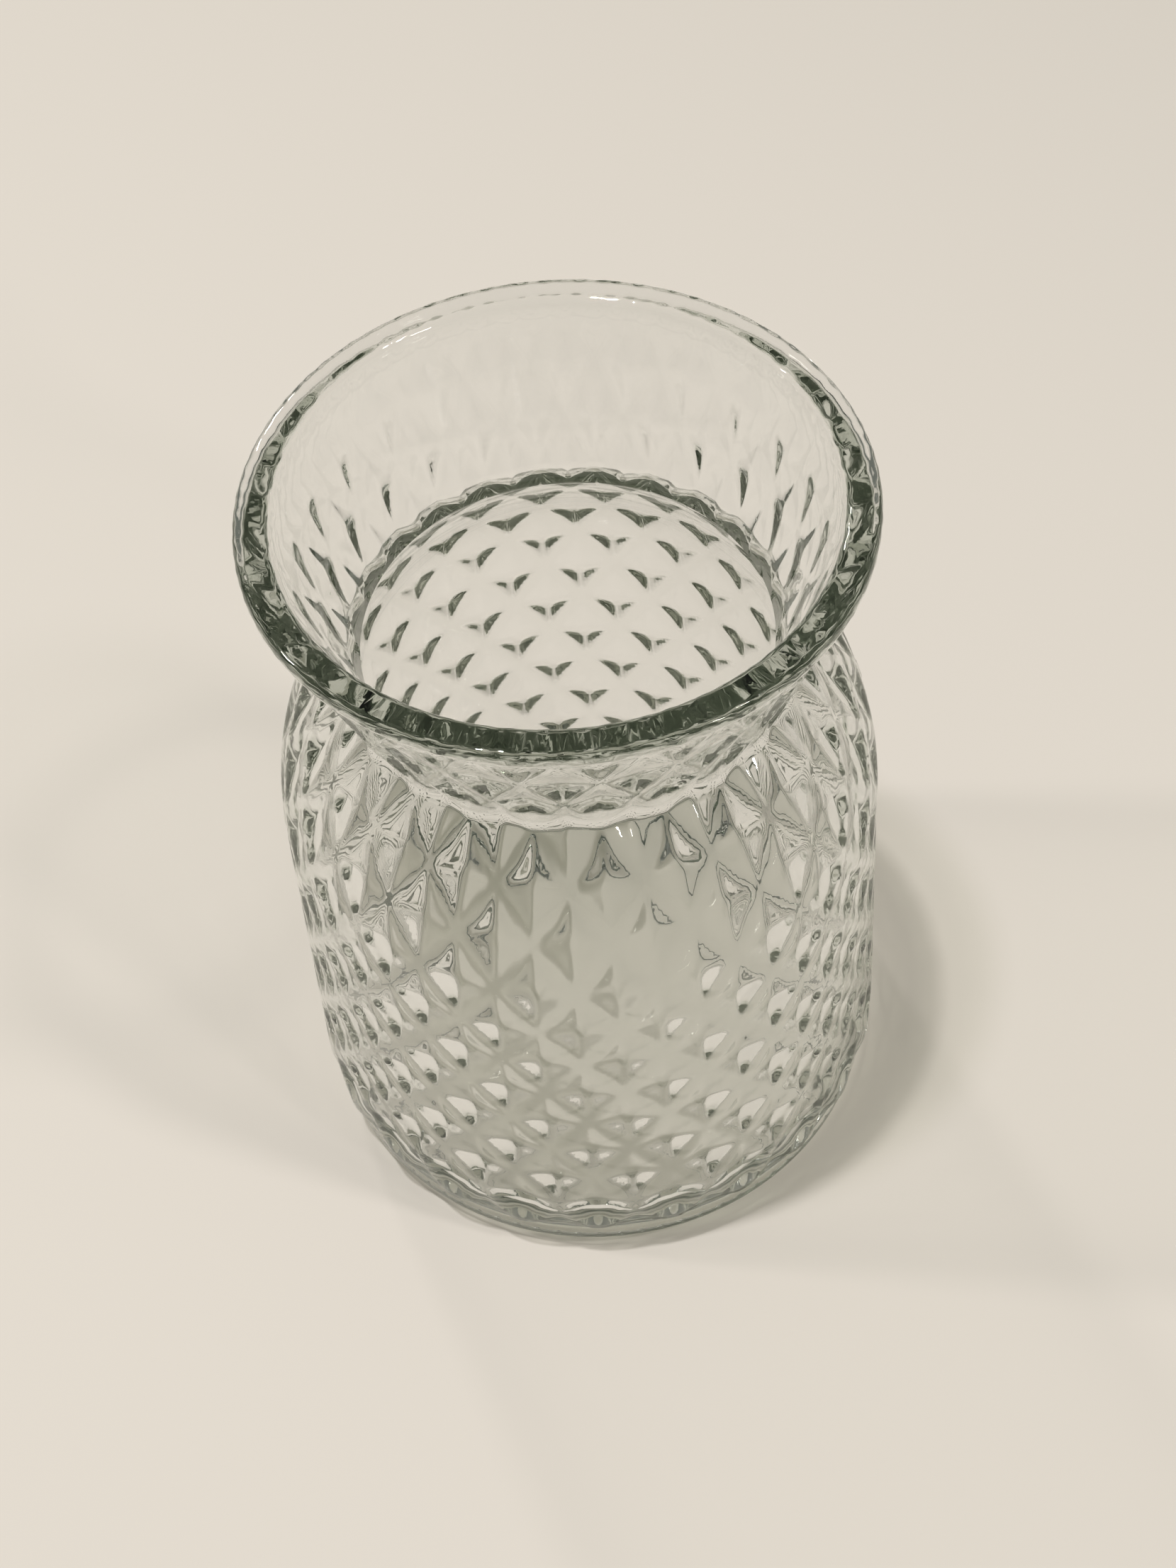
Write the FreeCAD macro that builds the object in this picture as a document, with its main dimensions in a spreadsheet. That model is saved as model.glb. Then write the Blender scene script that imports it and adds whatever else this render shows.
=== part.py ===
import FreeCAD, Part

# Empty candle jar, pressed in clear glass: a rounded lip, a flared collar, a waisted neck, a
# round shoulder and a slightly tapered wall, all but the lip cut with hollow diamonds that
# leave a net of slanting ridges between them,
# on a plain heel, a closed base and a ring of small bearing pads.
# The jar is one casting. It is divided here at its mould levels into the sections a glass
# maker names. Neighbouring sections meet face to face, and one hollow is cut through them all.
# Millimetres. +Z is up, and the origin is the centre of the circle that the jar stands on.

import math
import os

import Sketcher

Vector = FreeCAD.Vector
doc = FreeCAD.newDocument("candle_jar")

# ---------------------------------------------------------------- driving dimensions

SIZES = [
    ("height", 151.0, "foot to the crest of the lip"),
    ("rim_radius", 50.0, "outside of the lip"),
    ("rim_band", 3.4, "height of the lip's upright band"),
    ("rim_round", 1.3, "rounding of the lip's three free edges"),
    ("lip_wall", 5.8, "glass of the lip"),
    ("collar_height", 29.1, "neck to the underside of the lip"),
    ("collar_wall", 4.5, "glass of the flared collar under the lip"),
    ("neck_bore", 34.2, "inside radius of the neck"),
    ("neck_wall", 4.4, "glass at the neck, at the ridges"),
    ("neck_round", 3.0, "rounding of the neck inside"),
    ("shoulder_height", 39.9, "where the wall starts to turn in, up to the neck"),
    ("body_radius", 55.0, "outside of the wall at the heel, at the ridges"),
    ("taper", 2.3, "how much narrower the wall is at the shoulder"),
    ("wall", 3.9, "glass of the wall, at the ridges"),
    ("columns", 24, "diamonds round the jar"),
    ("wall_rows", 7, "half diamonds up the wall"),
    ("shoulder_rows", 4, "half diamonds up the shoulder"),
    ("collar_rows", 3, "half diamonds up the collar"),
    ("relief", 1.6, "depth of a diamond's centre under the ridges"),
    ("heel_height", 10.3, "foot to the lowest diamonds"),
    ("heel_step", 1.4, "how far the plain heel stands in from the wall"),
    ("heel_round", 4.0, "rounding under the heel"),
    ("foot_land", 5.6, "width of the ring that the jar stands on"),
    ("floor_level", 7.0, "height of the inside floor"),
    ("floor_round", 8.0, "rounding between the floor and the wall"),
    ("push_up", 2.4, "rise of the base's underside at its centre"),
    ("pad_count", 80, "bearing pads round the foot"),
    ("pad_height", 0.35, "thickness of a bearing pad"),
    ("pad_length", 3.6, "bearing pad, along the radius"),
    ("pad_width", 2.8, "bearing pad, along the foot"),
    ("pad_inset", 1.0, "foot's inside edge to the pads"),
]

# Places that several sections share, as sums of the sizes.
LIP_BORE = "rim_radius - lip_wall"
LIP_LEVEL = "height - rim_band"
NECK_LEVEL = "height - rim_band - collar_height"
SHOULDER_LEVEL = "height - rim_band - collar_height - shoulder_height"
HEEL_RADIUS = "body_radius - heel_step"
FOOT_RADIUS = "body_radius - heel_step - heel_round"
FOOT_BORE = "body_radius - heel_step - heel_round - foot_land"

sheet = doc.addObject("Spreadsheet::Sheet", "sizes")
for row, (alias, number, meaning) in enumerate(SIZES, start=1):
    sheet.set(f"A{row}", meaning)
    sheet.set(f"B{row}", str(number))
    sheet.setAlias(f"B{row}", alias)
doc.recompute()


def value(formula):
    """The number of a sum such as "rim_radius - rim_round", read from the sheet."""
    total = 0.0
    sign = 1
    for word in formula.split():
        if word in ("+", "-"):
            sign = 1 if word == "+" else -1
        else:
            total += sign * float(sheet.get(word))
    return total


def bound(formula):
    """The same sum as an expression on the sheet's cells."""
    words = (word if word in ("+", "-") else f"sizes.{word}" for word in formula.split())
    return " ".join(words)


# ---------------------------------------------------------------- turned sections

# An outline is a list of corners (radius, height, edge that leads to the next corner).
# An edge is a "line", or an arc named for the end where it runs upright or level, which
# puts the arc's centre beside or above that end.

ON_AXIS = "axis"


def arc_between(first, second, edge):
    """Arc from first to second that is upright or level at the end that edge names."""
    way, end = edge.split("_")
    near, far = (first, second) if end == "start" else (second, first)
    step = far - near
    if way == "upright":
        centre = near + Vector(step.Length ** 2 / (2 * step.x), 0, 0)
    else:
        centre = near + Vector(0, step.Length ** 2 / (2 * step.y), 0)
    a, b = first - centre, second - centre
    turn = math.atan2(a.x * b.y - a.y * b.x, a.dot(b))
    circle = Part.Circle(centre, Vector(0, 0, 1), a.Length)
    if turn > 0:
        begin = math.atan2(a.y, a.x)
        return Part.ArcOfCircle(circle, begin, begin + turn), 1, 2
    begin = math.atan2(b.y, b.x)
    return Part.ArcOfCircle(circle, begin, begin - turn), 2, 1


def turned_body(name, outline):
    """A PartDesign body: the outline in a sketch on the XZ plane, revolved about Z."""
    body = doc.addObject("PartDesign::Body", name)
    plane = next(f for f in body.Origin.OriginFeatures if f.Role == "XZ_Plane")
    sketch = body.newObject("Sketcher::SketchObject", name + "_outline")
    sketch.AttachmentSupport = [(plane, "")]
    sketch.MapMode = "FlatFace"

    corners = [
        Vector(0 if radius == ON_AXIS else value(radius), value(level), 0)
        for radius, level, _ in outline
    ]
    ends = []
    for place, (_, _, edge) in enumerate(outline):
        first, second = corners[place], corners[(place + 1) % len(corners)]
        if edge == "line":
            shape, start, stop = Part.LineSegment(first, second), 1, 2
        else:
            shape, start, stop = arc_between(first, second, edge)
        sketch.addGeometry(shape, False)
        ends.append((start, stop))

    for place, (radius, level, edge) in enumerate(outline):
        after = (place + 1) % len(outline)
        start, stop = ends[place]
        sketch.addConstraint(
            Sketcher.Constraint("Coincident", place, stop, after, ends[after][0])
        )
        if radius == ON_AXIS:
            sketch.addConstraint(Sketcher.Constraint("PointOnObject", place, start, -2))
        else:
            across = sketch.addConstraint(
                Sketcher.Constraint("DistanceX", -1, 1, place, start, corners[place].x)
            )
            sketch.setExpression(f"Constraints[{across}]", bound(radius))
        up = sketch.addConstraint(
            Sketcher.Constraint("DistanceY", -1, 1, place, start, corners[place].y)
        )
        sketch.setExpression(f"Constraints[{up}]", bound(level))
        if edge != "line":
            way, end = edge.split("_")
            tie = "Horizontal" if way == "upright" else "Vertical"
            held = start if end == "start" else stop
            sketch.addConstraint(Sketcher.Constraint(tie, place, 3, place, held))

    turned = body.newObject("PartDesign::Revolution", name + "_turned")
    turned.Profile = sketch
    turned.ReferenceAxis = (sketch, ["V_Axis"])
    turned.Angle = 360
    doc.recompute()
    return body


def cut_by_hollow(block, label):
    """The block with the jar's hollow taken out of it, as the section with this label."""
    section = doc.addObject("Part::Cut", label + "_section")
    section.Base = block
    section.Tool = hollow
    section.Label = label
    sections.append(section)
    return section


# ---------------------------------------------------------------- diamond-covered sections


def ring(radius, relief, level, row):
    """One row of the pattern: ridges cross at the radius, and between the crossings lies a
    diamond's centre, sunk by the relief. Rows are staggered."""
    points = []
    for step in range(2 * columns):
        angle = math.pi * step / columns
        reach = radius if (row + step) % 2 == 0 else radius - relief
        points.append(Vector(reach * math.cos(angle), reach * math.sin(angle), level))
    return points


def diamond_block(name, rows, lowest_row):
    """A closed block whose side is made of the diamonds' flat triangles."""
    rings = [
        ring(radius, relief, level, lowest_row + place)
        for place, (radius, level, relief) in enumerate(rows)
    ]
    faces = [
        Part.Face(Part.makePolygon(rings[0] + rings[0][:1])),
        Part.Face(Part.makePolygon(rings[-1] + rings[-1][:1])),
    ]
    for place in range(len(rings) - 1):
        low, high = rings[place], rings[place + 1]
        for step in range(2 * columns):
            after = (step + 1) % (2 * columns)
            if (lowest_row + place + step) % 2 == 0:
                ridge = (low[step], high[after])
                centres = (low[after], high[step])
            else:
                ridge = (low[after], high[step])
                centres = (low[step], high[after])
            for centre in centres:
                corners = [ridge[0], ridge[1], centre, ridge[0]]
                faces.append(Part.Face(Part.makePolygon(corners)))
    solid = Part.makeSolid(Part.makeShell(faces))
    if solid.Volume < 0:
        solid.reverse()
    block = doc.addObject("Part::Feature", name)
    block.Shape = solid
    return block


def straight_rows(first, last, count):
    """Rows at equal steps on a straight outline, from (radius, level, relief) to another."""
    return [
        tuple(a + (b - a) * place / count for a, b in zip(first, last))
        for place in range(count + 1)
    ]


def arched_rows(first, last, count):
    """Rows at equal steps on an arc that leaves the first place upright."""
    across, up = first[0] - last[0], last[1] - first[1]
    radius = (across ** 2 + up ** 2) / (2 * across)
    turn = math.asin(up / radius)
    rows = []
    for place in range(count + 1):
        angle = turn * place / count
        reach = first[0] - radius * (1 - math.cos(angle))
        rows.append((reach, first[1] + radius * math.sin(angle), first[2]))
    return rows


# ---------------------------------------------------------------- the hollow

sections = []
columns = int(value("columns"))
relief = value("relief")

hollow = turned_body(
    "hollow",
    [
        (ON_AXIS, "floor_level", "line"),
        ("body_radius - wall - floor_round", "floor_level", "upright_end"),
        ("body_radius - wall", "floor_level + floor_round", "line"),
        ("body_radius - taper - wall", SHOULDER_LEVEL, "upright_start"),
        ("neck_bore", NECK_LEVEL, "line"),
        (LIP_BORE, LIP_LEVEL, "line"),
        (LIP_BORE, "height + rim_band", "line"),
        (ON_AXIS, "height + rim_band", "line"),
    ],
)


def edge_at(shape, radius, level):
    """Name of the round edge with this radius at this height."""
    for place, edge in enumerate(shape.Edges, start=1):
        box = edge.BoundBox
        if abs(box.ZMin - level) < 0.01 and abs(box.ZMax - level) < 0.01:
            if abs(box.XMax - radius) < 0.01:
                return f"Edge{place}"
    raise RuntimeError("no edge at the neck")


turned_hollow = hollow.Tip
neck_edge = edge_at(turned_hollow.Shape, value("neck_bore"), value(NECK_LEVEL))
soft_neck = hollow.newObject("PartDesign::Fillet", "neck_rounding")
soft_neck.Base = (turned_hollow, [neck_edge])
soft_neck.Radius = value("neck_round")
soft_neck.setExpression("Radius", bound("neck_round"))
hollow.Tip = soft_neck
doc.recompute()

# ---------------------------------------------------------------- lip

lip = turned_body(
    "lip_ring",
    [
        (LIP_BORE, LIP_LEVEL, "line"),
        ("rim_radius - rim_round", LIP_LEVEL, "upright_end"),
        ("rim_radius", LIP_LEVEL + " + rim_round", "line"),
        ("rim_radius", "height - rim_round", "upright_start"),
        ("rim_radius - rim_round", "height", "line"),
        (LIP_BORE + " + rim_round", "height", "upright_end"),
        (LIP_BORE, "height - rim_round", "line"),
    ],
)
lip.Label = "rim_lip"
sections.append(lip)

# ---------------------------------------------------------------- collar, shoulder and wall

wall_rows = int(value("wall_rows"))
shoulder_rows = int(value("shoulder_rows"))
collar_rows = int(value("collar_rows"))

heel_place = (value("body_radius"), value("heel_height"), relief)
shoulder_place = (value("body_radius - taper"), value(SHOULDER_LEVEL), relief)
neck_place = (value("neck_bore + neck_wall"), value(NECK_LEVEL), relief)
collar_place = (value(LIP_BORE + " + collar_wall"), value(LIP_LEVEL), 0.0)

collar_block = diamond_block(
    "collar_block",
    straight_rows(neck_place, collar_place, collar_rows),
    wall_rows + shoulder_rows,
)
shoulder_block = diamond_block(
    "shoulder_block",
    arched_rows(shoulder_place, neck_place, shoulder_rows),
    wall_rows,
)
wall_block = diamond_block(
    "wall_block",
    straight_rows(heel_place, shoulder_place, wall_rows),
    0,
)
cut_by_hollow(collar_block, "flared_collar")
cut_by_hollow(shoulder_block, "shoulder")
cut_by_hollow(wall_block, "diamond_wall")

# ---------------------------------------------------------------- heel and base

heel_block = turned_body(
    "heel_block",
    [
        (FOOT_BORE, "pad_height", "line"),
        (FOOT_RADIUS, "pad_height", "upright_end"),
        (HEEL_RADIUS, "pad_height + heel_round", "line"),
        (HEEL_RADIUS, "heel_height", "line"),
        (FOOT_BORE, "heel_height", "line"),
    ],
)
base_block = turned_body(
    "base_block",
    [
        (ON_AXIS, "push_up", "level_start"),
        (FOOT_BORE, "pad_height", "line"),
        (FOOT_BORE, "heel_height", "line"),
        (ON_AXIS, "heel_height", "line"),
    ],
)
cut_by_hollow(heel_block, "heel")
cut_by_hollow(base_block, "base_floor")

# ---------------------------------------------------------------- bearing pads

pads = doc.addObject("PartDesign::Body", "pads")
pads.AllowCompound = True
pad = pads.newObject("PartDesign::AdditiveBox", "pad")
pad.setExpression("Length", bound("pad_length"))
pad.setExpression("Width", bound("pad_width"))
pad.setExpression("Height", bound("pad_height"))
pad.setExpression(".AttachmentOffset.Base.x", bound(FOOT_BORE + " + pad_inset"))
pad.setExpression(".AttachmentOffset.Base.y", "-sizes.pad_width / 2")
xy_plane = next(f for f in pads.Origin.OriginFeatures if f.Role == "XY_Plane")
z_axis = next(f for f in pads.Origin.OriginFeatures if f.Role == "Z_Axis")
pad.AttachmentSupport = [(xy_plane, "")]
pad.MapMode = "FlatFace"
doc.recompute()
pad_ring = pads.newObject("PartDesign::PolarPattern", "pad_ring")
pad_ring.Originals = [pad]
pad_ring.Axis = (z_axis, [""])
pad_ring.Angle = 360
pad_ring.Occurrences = int(value("pad_count"))
pad_ring.setExpression("Occurrences", bound("pad_count"))
pads.Tip = pad_ring
pads.Label = "bearing_pads"
sections.append(pads)

# ---------------------------------------------------------------- checks and files

doc.recompute()
for item in doc.Objects:
    if "Invalid" in item.State or "Error" in item.State:
        raise RuntimeError(f"{item.Name} failed: {item.State}")

os.makedirs("parts", exist_ok=True)
for section in sections:
    if section.Shape.isNull() or not section.Shape.isValid():
        raise RuntimeError(f"{section.Label} has no valid shape")
    box = section.Shape.optimalBoundingBox(False, False)
    print(
        f"{section.Label}: {len(section.Shape.Solids)} solid(s), "
        f"{section.Shape.Volume / 1000:.2f} cm3, "
        f"z {box.ZMin:.2f} to {box.ZMax:.2f}, across {box.XLength:.2f}"
    )
for section in sections:
    section.Shape.exportStep(f"parts/{section.Label}.step")
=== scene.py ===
# %% [markdown]
# # An empty candle jar in pressed glass
#
# The real jar is one thick piece of clear soda-lime glass. Molten glass was pressed into an
# iron mould, so the outside carries the mould's diamonds and the inside is smooth. Glass has
# no colour of its own to paint: it is seen only by how it bends and mirrors what is round it.
# So nearly all the work is in the shape. Both faces of the wall have to be right, and they
# have to be one closed surface, because light bends at each face that it meets.

# %% Load the frame
import math

import bpy
import numpy as np
from mathutils import Matrix, Vector


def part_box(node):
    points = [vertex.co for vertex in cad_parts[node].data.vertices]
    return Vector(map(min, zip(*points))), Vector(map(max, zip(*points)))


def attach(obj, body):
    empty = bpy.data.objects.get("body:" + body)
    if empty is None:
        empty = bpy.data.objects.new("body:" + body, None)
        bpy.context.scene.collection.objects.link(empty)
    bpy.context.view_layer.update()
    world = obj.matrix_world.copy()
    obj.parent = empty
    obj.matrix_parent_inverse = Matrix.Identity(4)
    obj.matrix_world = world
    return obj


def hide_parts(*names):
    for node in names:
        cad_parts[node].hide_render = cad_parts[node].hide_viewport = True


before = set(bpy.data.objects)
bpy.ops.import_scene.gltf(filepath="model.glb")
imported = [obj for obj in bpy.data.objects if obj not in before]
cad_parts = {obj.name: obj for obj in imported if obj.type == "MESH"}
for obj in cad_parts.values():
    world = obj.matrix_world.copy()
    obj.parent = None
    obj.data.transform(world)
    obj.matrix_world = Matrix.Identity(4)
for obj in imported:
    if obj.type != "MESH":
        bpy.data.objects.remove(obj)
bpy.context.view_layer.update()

MM = 0.001

# %% [markdown]
# ## Levels and radii
#
# The jar could be sized by eye, but the CAD sections already say where the lip, the collar,
# the shoulder, the wall and the heel begin and end. Reading their boxes keeps this model and
# the CAD model the same size.

# %% Levels and radii from the CAD sections


def lowest(node):
    """Level of a CAD section's underside, in millimetres."""
    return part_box(node)[0][2] / MM


def widest(node):
    """Outside radius of a CAD section, in millimetres."""
    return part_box(node)[1][0] / MM


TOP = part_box("rim_lip")[1][2] / MM
LIP_LEVEL = lowest("rim_lip")
NECK_LEVEL = lowest("flared_collar")
SHOULDER_LEVEL = lowest("shoulder")
HEEL_LEVEL = lowest("diamond_wall")
LIP_RADIUS = widest("rim_lip")
BODY_RADIUS = widest("diamond_wall")
HEEL_RADIUS = widest("heel")
print(f"height {TOP:.1f}, lip {2 * LIP_RADIUS:.1f} across, body {2 * BODY_RADIUS:.1f} across")

# %% [markdown]
# Boxes say nothing about what is inside them, so the thicknesses of the glass, its roundings
# and its foot are named here. They are the CAD model's own values, in millimetres.

# %% Thicknesses and roundings
TAPER = 2.3          # the wall leans in by this much from heel to shoulder
WALL = 3.9
NECK_BORE = 34.2     # inside radius of the neck
NECK_WALL = 4.4
COLLAR_WALL = 4.5
LIP_WALL = 5.8
LIP_ROUND = 1.3
FLOOR_LEVEL = 7.0    # top of the floor inside
FLOOR_ROUND = 8.0
HEEL_ROUND = 4.0
FOOT_LAND = 5.6      # width of the foot ring
PUSH_UP = 2.4        # how far the underside stands clear in the middle
PAD_HEIGHT = 0.35
PAD_LENGTH = 3.6     # bearing pad, measured outwards from the axis
PAD_INSET = 1.0      # from the ring's inner edge to a pad
LIP_BORE = LIP_RADIUS - LIP_WALL
print(f"mouth {2 * LIP_BORE:.1f} wide inside, neck {2 * NECK_BORE:.1f}")

# %% [markdown]
# ## The profile
#
# The jar could be joined from a tube, a funnel and a disc, but every joint would show as a
# bright seam inside the glass, and a pressed jar has no joints. A jar is a solid of
# revolution before its pattern is pressed in, so its shape is one closed line in the plane of
# radius and height. The line starts under the base at the axis, runs out over the foot, up
# the outside, over the lip, down the inside and back to the axis. It is made of stretches,
# each a straight run or an arc, and each with as many points as it needs.

# %% Straight runs and arcs


def straight(start, end, count):
    """Points at equal steps on a straight line: start plus a share of the way to end."""
    share = np.linspace(0, 1, count + 1)[:, None]
    return np.array(start) * (1 - share) + np.array(end) * share


def upright_arc(start, end, count, upright="start"):
    """Points on the arc that runs upright (straight up or down) at one end. The arc's
    centre is level with that end, at the radius that puts both ends on one circle."""
    near, far = (start, end) if upright == "start" else (end, start)
    near, far = np.array(near, float), np.array(far, float)
    step = far - near
    reach = (step @ step) / (2 * step[0])
    centre = near + np.array([reach, 0.0])
    first = math.atan2(*(near - centre)[::-1])
    last = math.atan2(*(far - centre)[::-1])
    sweep = (last - first + math.pi) % (2 * math.pi) - math.pi
    angle = first + sweep * np.linspace(0, 1, count + 1)
    points = centre + abs(reach) * np.stack([np.cos(angle), np.sin(angle)], 1)
    return points if upright == "start" else points[::-1]


print("a quarter round:", upright_arc((1.0, 0.0), (0.0, 1.0), 2).round(2).tolist())

# %% [markdown]
# The jar stands on a narrow ring, and only that ring's pads touch the table. The underside
# between them is pushed up so that it can't rock. The line stops just short of the axis,
# where a face closes the small hole that is left.

# %% Underside, foot and heel
AXIS_HOLE = 0.4      # radius of the hole at the axis
FOOT_EASE_IN = 0.5   # the underside slopes onto the ring over this width ...
FOOT_EASE_UP = 0.3   # ... and this height
HEEL_EASE = 0.6      # height of the slope from the heel out to the wall

foot_out = HEEL_RADIUS - HEEL_ROUND
foot_in = foot_out - FOOT_LAND
pad_in = foot_in + PAD_INSET
pad_out = pad_in + PAD_LENGTH
heel_round_top = PAD_HEIGHT + HEEL_ROUND

under = straight((AXIS_HOLE, PUSH_UP), (foot_in - FOOT_EASE_IN, PAD_HEIGHT + FOOT_EASE_UP), 7)
foot = np.concatenate([
    straight((foot_in, PAD_HEIGHT), (pad_in, PAD_HEIGHT), 1),
    straight((pad_in, 0.0), (pad_out, 0.0), 2),
    straight((pad_out, PAD_HEIGHT), (foot_out, PAD_HEIGHT), 1),
])
heel = np.concatenate([
    upright_arc((foot_out, PAD_HEIGHT), (HEEL_RADIUS, heel_round_top), 6, "end")[1:],
    straight((HEEL_RADIUS, heel_round_top), (HEEL_RADIUS, HEEL_LEVEL - HEEL_EASE), 3)[1:],
])
print(f"the jar stands on a ring from {pad_in:.1f} to {pad_out:.1f} mm from its axis")

# %% [markdown]
# The wall, the shoulder and the collar carry the diamonds. Their points are spaced so that
# every half-diamond has the same number of mesh rows, whatever its real height. The pattern
# then follows the form without being worked out again for each stretch.

# %% Outside under the diamonds
COLUMNS = 24         # diamonds round the jar
HALF = 10            # mesh columns to half a diamond
ROW_STEPS = 8        # mesh rows to half a diamond
ROWS = {"wall": 7, "shoulder": 4, "collar": 3}

shoulder_foot = (BODY_RADIUS - TAPER, SHOULDER_LEVEL)
neck_out = (NECK_BORE + NECK_WALL, NECK_LEVEL)
collar_top = (LIP_BORE + COLLAR_WALL, LIP_LEVEL)

patterned = np.concatenate([
    straight((BODY_RADIUS, HEEL_LEVEL), shoulder_foot, ROWS["wall"] * ROW_STEPS),
    upright_arc(shoulder_foot, neck_out, ROWS["shoulder"] * ROW_STEPS)[1:],
    straight(neck_out, collar_top, ROWS["collar"] * ROW_STEPS)[1:],
])
print(sum(ROWS.values()), "half-diamonds up the jar, in", len(patterned), "mesh rows")

# %% [markdown]
# The lip is a square band whose edges were melted round. The inside has no pattern: the
# plunger that pressed it was smooth, so it is the outside's form without the diamonds.

# %% Lip and inside
round_in = LIP_RADIUS - LIP_ROUND
lip = np.concatenate([
    upright_arc((round_in, LIP_LEVEL), (LIP_RADIUS, LIP_LEVEL + LIP_ROUND), 4, "end")[1:],
    upright_arc((LIP_RADIUS, TOP - LIP_ROUND), (round_in, TOP), 4),
    upright_arc((LIP_BORE + LIP_ROUND, TOP), (LIP_BORE, TOP - LIP_ROUND), 4, "end"),
])

neck_in = (NECK_BORE, NECK_LEVEL)
shoulder_base = (BODY_RADIUS - TAPER - WALL, SHOULDER_LEVEL)
wall_base = (BODY_RADIUS - WALL, FLOOR_LEVEL + FLOOR_ROUND)
floor_edge = (BODY_RADIUS - WALL - FLOOR_ROUND, FLOOR_LEVEL)

inside = np.concatenate([
    straight((LIP_BORE, LIP_LEVEL), neck_in, 8),
    upright_arc(shoulder_base, neck_in, 12)[::-1][1:],
    straight(shoulder_base, wall_base, 10)[1:],
    upright_arc(wall_base, floor_edge, 7)[1:],
    straight(floor_edge, (AXIS_HOLE, FLOOR_LEVEL), 5)[1:],
])
print(len(lip), "points over the lip and", len(inside), "down the inside")

# %% Join the stretches
stretches = {"under": under, "foot": foot, "heel": heel, "patterned": patterned,
             "lip": lip, "inside": inside}
profile = np.concatenate(list(stretches.values()))
ends = np.cumsum([len(points) for points in stretches.values()])
rows = {name: slice(end - len(stretches[name]), end) for name, end in zip(stretches, ends)}
print(len(profile), "points on the profile")

# %% [markdown]
# ## The diamonds
#
# A bump map would be lighter, but glass shows its back through its front, and a bump bends
# light without moving the surface, so the ridges would vanish from the outline. The hollows
# are therefore real. Each is a four-sided pit. Its folds, a little rounded, throw the dark
# marks seen through the mouth, and the lenses of full wall between pits make the dark-rimmed
# strokes at the sides. The pattern is a height field: one number for every place on the
# outer skin.

# %% Heights of the diamonds
RELIEF = 1.3         # depth of a diamond's hollow, before its folds are rounded
CURVE = 1.1          # above 1 the hollow's sides are slightly dished
LAND = 0.52          # what the ridge keeps of the full wall, half-way along
FOLD = 0.12          # how far the rounding of a fold reaches, in half-diamonds
TINY = 1e-6          # keeps a division clear of 0 at a diamond's side corners


def rounded(x):
    """Distance |x| with its point at 0 rounded off: x^2 / (2 FOLD) + FOLD / 2 within FOLD
    of 0, and plain |x| beyond."""
    return np.where(np.abs(x) < FOLD, x ** 2 / (2 * FOLD) + FOLD / 2, np.abs(x))


def diamonds(u, v):
    """Height against the wall's outer skin, in millimetres, never above it.

    u and v count half-diamonds round and up, and U and V are the distances from the nearest
    diamond's centre, rounded off at 0, so the diamond is where U + V < 1. Its hollow would be
    RELIEF (1 - U) (1 - V / (1 - U))^CURVE deep, a four-sided pit with its folds along the
    middle. LAND (4 U V) is then taken off that depth, which leaves a lens of the full wall
    on every ridge: widest half-way along, and nothing where four diamonds meet.
    """
    a, b = np.mod(u + v, 2) - 1, np.mod(u - v, 2) - 1
    side, rise = rounded((a + b) / 2), rounded((a - b) / 2)
    reach = np.maximum(1 - side, TINY)
    pit = RELIEF * reach * np.clip(1 - rise / reach, 0, 1) ** CURVE
    return -np.maximum(pit - LAND * 4 * side * rise, 0)


centre, crossing = diamonds(np.array([1.0, 0.0]), 0.0)
print(f"height at a diamond's centre {centre:.2f} mm, where ridges cross {crossing + 0:.2f} mm")

# %% [markdown]
# The lip was melted smooth in a flame, which leaves it slightly wavy. The waves are only
# hundredths of a millimetre high, yet they break up the dark band that a perfect lip shows.

# %% Heights of the lip
WAVE = 0.03          # height of one wave


def unevenness(turn, row):
    """Height of the lip's skin, never above 0: -WAVE (2 + sin(61 turn + 1.3 row) +
    sin(97 turn - 2.1 row)), two waves round the lip that drift as they cross it."""
    return -WAVE * (2 + np.sin(61 * turn + 1.3 * row) + np.sin(97 * turn - 2.1 * row))


print(f"the lip is up to {4 * WAVE:.2f} mm low")

# %% [markdown]
# ## One closed surface
#
# The heights push each point of the profile straight out of or into the glass, square to the
# profile, so the pattern keeps its depth where the shoulder leans. The diamonds fade out as
# they come up to the lip, and under the foot the ring is lifted between the bearing pads.

# %% Heights over the whole jar
FADE_ROWS = 1.6      # the diamonds fade over this many half-diamonds below the lip

steps = 2 * COLUMNS * HALF
turn = 2 * math.pi * np.arange(steps) / steps
up = np.arange(len(patterned))[:, None] / ROW_STEPS
fade = np.clip((sum(ROWS.values()) - up) / FADE_ROWS, 0, 1)

height = np.zeros((len(profile), steps))
height[rows["patterned"]] = diamonds(np.arange(steps) / HALF, up) * fade
height[rows["lip"]] = unevenness(turn, np.arange(len(lip))[:, None])
print(f"hollows up to {-height.min():.2f} mm deep, {steps} mesh columns round")

# %% Places of all points
PADS = 80
PAD_GAP = 0.3        # how far the ring lifts between two pads

along = np.gradient(profile, axis=0)
along /= np.linalg.norm(along, axis=1)[:, None]
radius = profile[:, :1] + height * along[:, 1:]
level = profile[:, 1:] - height * along[:, :1]

between_pads = np.arange(steps) % (steps // PADS) == 0
level += PAD_GAP * between_pads * (profile[:, 1:] == 0.0)

points = np.stack([radius * np.cos(turn), radius * np.sin(turn), level], -1).reshape(-1, 3) * MM
print(len(points), "points")

# %% [markdown]
# Each face joins four neighbours on the grid of points, and the last column joins the first.
# The two holes at the axis get one many-sided face each, so the glass is closed and light
# knows when it is inside. This one surface takes the place of all the CAD sections.

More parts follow.
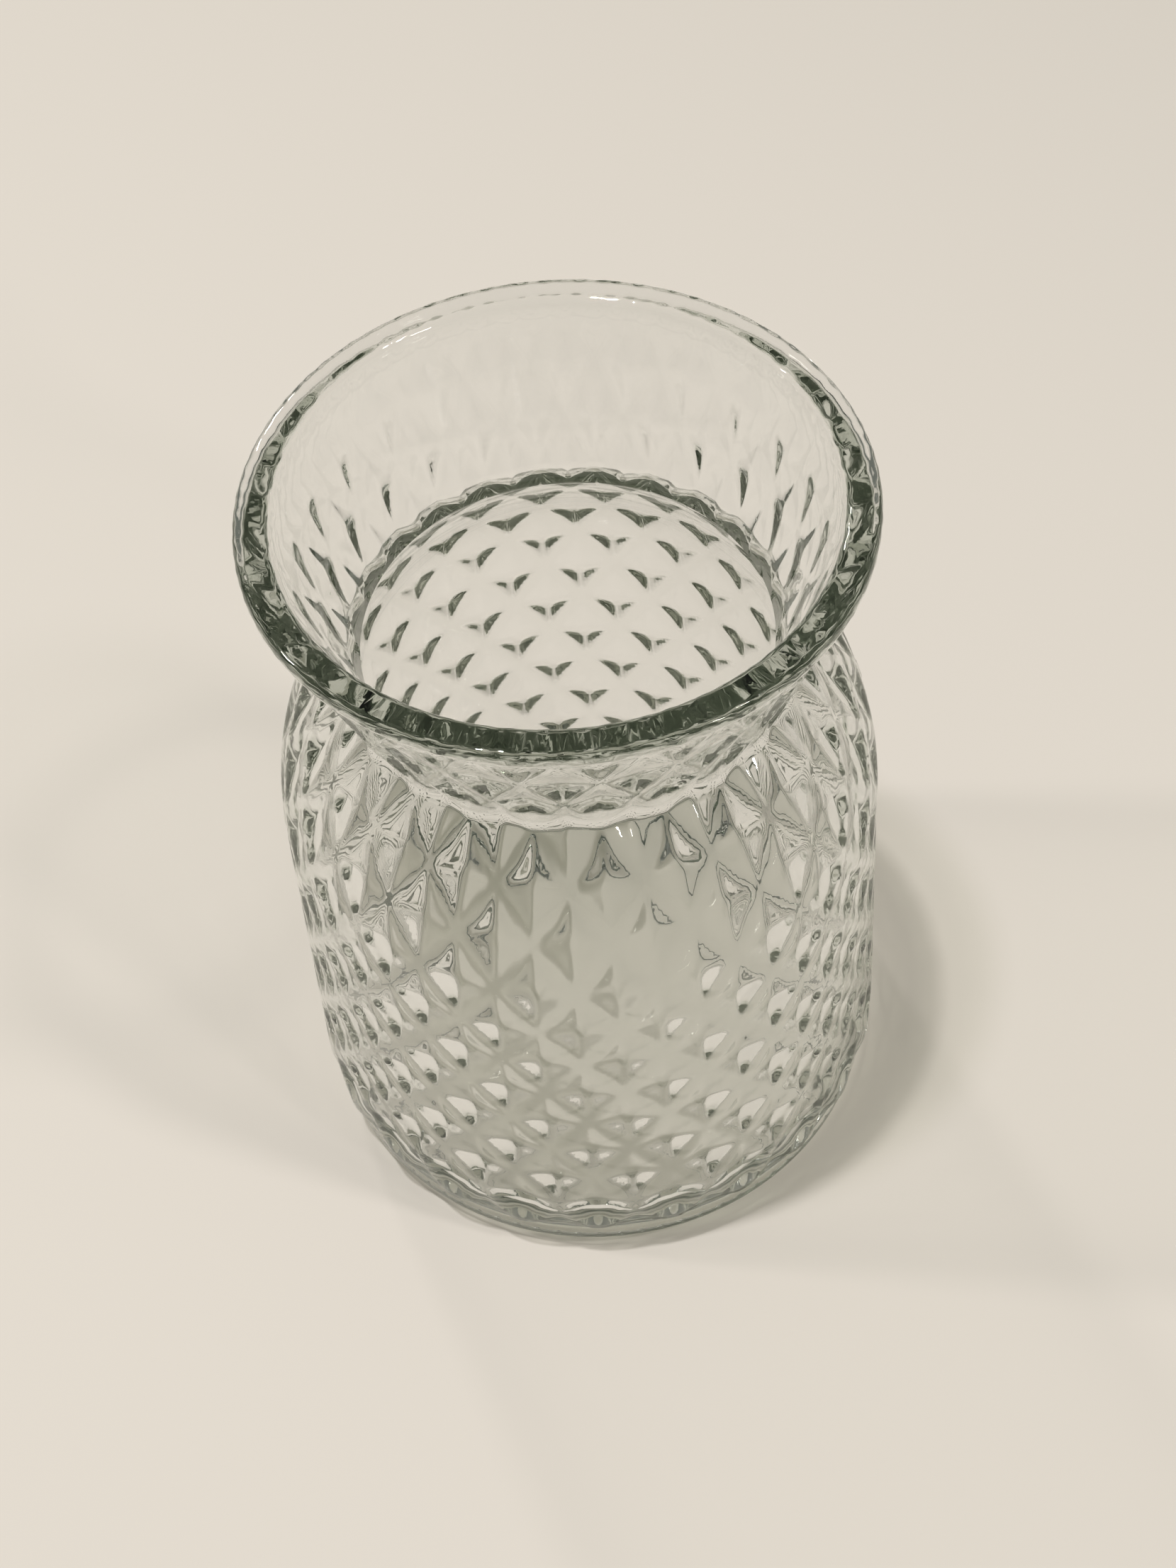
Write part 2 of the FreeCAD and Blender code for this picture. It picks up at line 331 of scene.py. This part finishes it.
# %% Build the jar
grid = np.arange(len(points)).reshape(-1, steps)
beside = np.roll(grid, -1, axis=1)
quads = np.stack([grid[:-1], beside[:-1], beside[1:], grid[1:]], -1).reshape(-1, 4)
caps = [grid[0][::-1].tolist(), grid[-1].tolist()]

mesh = bpy.data.meshes.new("jar_glass")
mesh.from_pydata(points, [], quads.tolist() + caps)
mesh.polygons.foreach_set("use_smooth", np.ones(len(mesh.polygons), bool))
mesh.update()
jar = bpy.data.objects.new("jar_glass", mesh)
bpy.context.scene.collection.objects.link(jar)

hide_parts("rim_lip", "flared_collar", "shoulder", "diamond_wall", "heel", "base_floor", "bearing_pads")
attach(jar, "root")
print(len(mesh.polygons), "faces")

# %% [markdown]
# ## The glass
#
# Soda-lime glass is the common glass of jars. Fire-polished, it has no roughness to speak of,
# and it bends light by 1.52. White is right for the glass itself: the grey-green comes from
# depth. Light that runs sideways in the lip or the neck passes through centimetres of glass
# and darkens, while light that crosses the wall passes through a few millimetres and stays
# clear. A tinted surface would colour both alike.
#
# For shadows and for the light on the paper the glass counts as a thin clear sheet that grows
# darker where it is seen edge-on. Followed properly, the light of small lamps would be bent
# into bright streaks, which path tracing finds only slowly and with much grain.

# %% Colours and nodes


def linear(code):
    """An sRGB hex colour as linear red, green, blue and alpha."""
    parts = np.array([int(code[k:k + 2], 16) for k in (1, 3, 5)]) / 255
    low, high = parts / 12.92, ((parts + 0.055) / 1.055) ** 2.4
    return (*np.where(parts <= 0.04045, low, high), 1.0)


def add_node(tree, kind, settings=None, **links):
    """Adds a node; settings are socket or property values and links are socket=output."""
    node = tree.nodes.new(kind)
    for name, setting in (settings or {}).items():
        if isinstance(name, str) and hasattr(node, name):
            setattr(node, name, setting)
        else:
            node.inputs[name].default_value = setting
    for name, output in links.items():
        tree.links.new(output, node.inputs[name.replace("_", " ")])
    return node


print("mid grey is", round(linear("#808080")[0], 3), "in linear light")

# %% Material of the jar
glass = bpy.data.materials.new("pressed_soda_lime_glass")
glass.use_nodes = True
tree = glass.node_tree
tree.nodes.clear()
solid = add_node(tree, "ShaderNodeBsdfPrincipled", {
    "Base Color": linear("#FFFFFF"), "Roughness": 0.0, "IOR": 1.52, "Transmission Weight": 1.0})
facing = add_node(tree, "ShaderNodeLayerWeight", {"Blend": 0.5})
edge = add_node(tree, "ShaderNodeMath", {"operation": "POWER", 1: 3.0}, Value=facing.outputs["Facing"])
tint = add_node(tree, "ShaderNodeMixRGB", {"Color1": linear("#F8F8F6"), "Color2": linear("#8C8A86")},
                Fac=edge.outputs[0])
sheet = add_node(tree, "ShaderNodeBsdfTransparent", None, Color=tint.outputs[0])

ray = add_node(tree, "ShaderNodeLightPath")
surface = solid
for kind in ("Is Shadow Ray", "Is Diffuse Ray"):
    choice = add_node(tree, "ShaderNodeMixShader")
    tree.links.new(ray.outputs[kind], choice.inputs[0])
    tree.links.new(surface.outputs[0], choice.inputs[1])
    tree.links.new(sheet.outputs[0], choice.inputs[2])
    surface = choice

depth = add_node(tree, "ShaderNodeVolumeAbsorption", {"Color": linear("#E8EBE7"), "Density": 62.0})
add_node(tree, "ShaderNodeOutputMaterial", None, Surface=surface.outputs[0], Volume=depth.outputs[0])
mesh.materials.append(glass)
print(glass.name, "has", len(tree.nodes), "nodes")

# %% [markdown]
# ## The stage
#
# Clear glass borrows everything from its surroundings, so they are part of the picture. The
# jar stands on matt cream paper. One small lamp hangs nearly overhead and throws the short
# shadow. Four weak ones stand further off, and their long faint shadows lie across the paper.
# The room fills the rest with an even, dim grey.

# %% Paper and room
paper = bpy.data.materials.new("matt_cream_paper")
paper.use_nodes = True
paper_face = paper.node_tree.nodes["Principled BSDF"]
paper_face.inputs["Base Color"].default_value = linear("#ECE6DF")
paper_face.inputs["Roughness"].default_value = 0.9
bpy.ops.mesh.primitive_plane_add(size=6.0, location=(0, 0, -0.0002))
floor = bpy.context.object
floor.name = "studio_floor"
floor.data.materials.append(paper)

world = bpy.data.worlds.new("room")
world.use_nodes = True
world.node_tree.nodes["Background"].inputs["Color"].default_value = linear("#8C8F86")
world.node_tree.nodes["Background"].inputs["Strength"].default_value = 0.6
bpy.context.scene.world = world
print("stage:", floor.name, "under", world.name)

# %% Lamps
LAMP_AIM = (0, 0, 0.05)


def soft_light(name, place, size, power, colour):
    """A round lamp, size metres across, that stands at place and faces the jar's foot."""
    data = bpy.data.lights.new(name, "AREA")
    data.shape = "DISK"
    data.size = size
    data.energy = power
    data.color = linear(colour)[:3]
    lamp = bpy.data.objects.new(name, data)
    lamp.location = place
    aim = Vector(LAMP_AIM) - Vector(place)
    lamp.rotation_euler = aim.to_track_quat("-Z", "Y").to_euler()
    bpy.context.scene.collection.objects.link(lamp)


soft_light("lamp_overhead", (-0.24, -0.09, 1.50), 0.07, 9.2, "#FFFCF9")
soft_light("lamp_right", (0.82, -0.34, 1.22), 0.14, 3.9, "#FFF9F2")
soft_light("lamp_left", (-1.20, 0.10, 0.80), 0.12, 3.8, "#FFF9F2")
soft_light("lamp_back", (-0.55, 1.10, 0.85), 0.14, 2.6, "#FFF9F2")
soft_light("lamp_front", (0.95, -0.85, 0.80), 0.14, 2.2, "#FFF9F2")
print("5 lamps aimed at", LAMP_AIM)

# %% [markdown]
# ## The camera
#
# The view is from above and in front, looking down into the mouth, and the camera is
# rolled a little. Its axes are written out because a plain aim at the jar would lose the roll.

# %% Camera
LENS = 53.7
CAMERA_PLACE = (0.01657, -0.24745, 0.41365)
AZIMUTH = math.radians(-3.515)
DOWNWARD = math.radians(53.68)
ROLL = math.radians(4.67)

ahead = Vector((math.sin(AZIMUTH) * math.cos(DOWNWARD), math.cos(AZIMUTH) * math.cos(DOWNWARD),
                -math.sin(DOWNWARD)))
level_right = Vector((math.cos(AZIMUTH), -math.sin(AZIMUTH), 0))
level_down = ahead.cross(level_right)
right = level_right * math.cos(ROLL) + level_down * math.sin(ROLL)
down = level_down * math.cos(ROLL) - level_right * math.sin(ROLL)

camera_data = bpy.data.cameras.new("camera")
camera_data.lens = LENS
camera = bpy.data.objects.new("camera", camera_data)
camera.matrix_world = (Matrix.Translation(CAMERA_PLACE)
                       @ Matrix((right, -down, -ahead)).transposed().to_4x4())
bpy.context.scene.collection.objects.link(camera)
bpy.context.scene.camera = camera
print("camera at", [round(c, 3) for c in camera.location])

# %% [markdown]
# ## How far light is followed
#
# Thick glass traps light, which mirrors many times inside the lip before it leaves. Stopping
# early would leave the lip black, so the bounce limits are raised. Caustics are left out:
# the clear sheet already lets the lamps' light through, and it would be counted twice.

# %% Light paths and view
scene = bpy.context.scene
scene.view_settings.view_transform = "Standard"
scene.cycles.caustics_refractive = False
scene.cycles.caustics_reflective = False
scene.cycles.glossy_bounces = 24
scene.cycles.transparent_max_bounces = 24
scene.cycles.max_bounces = 32
scene.cycles.transmission_bounces = 32
print("light followed for", scene.cycles.max_bounces, "bounces")
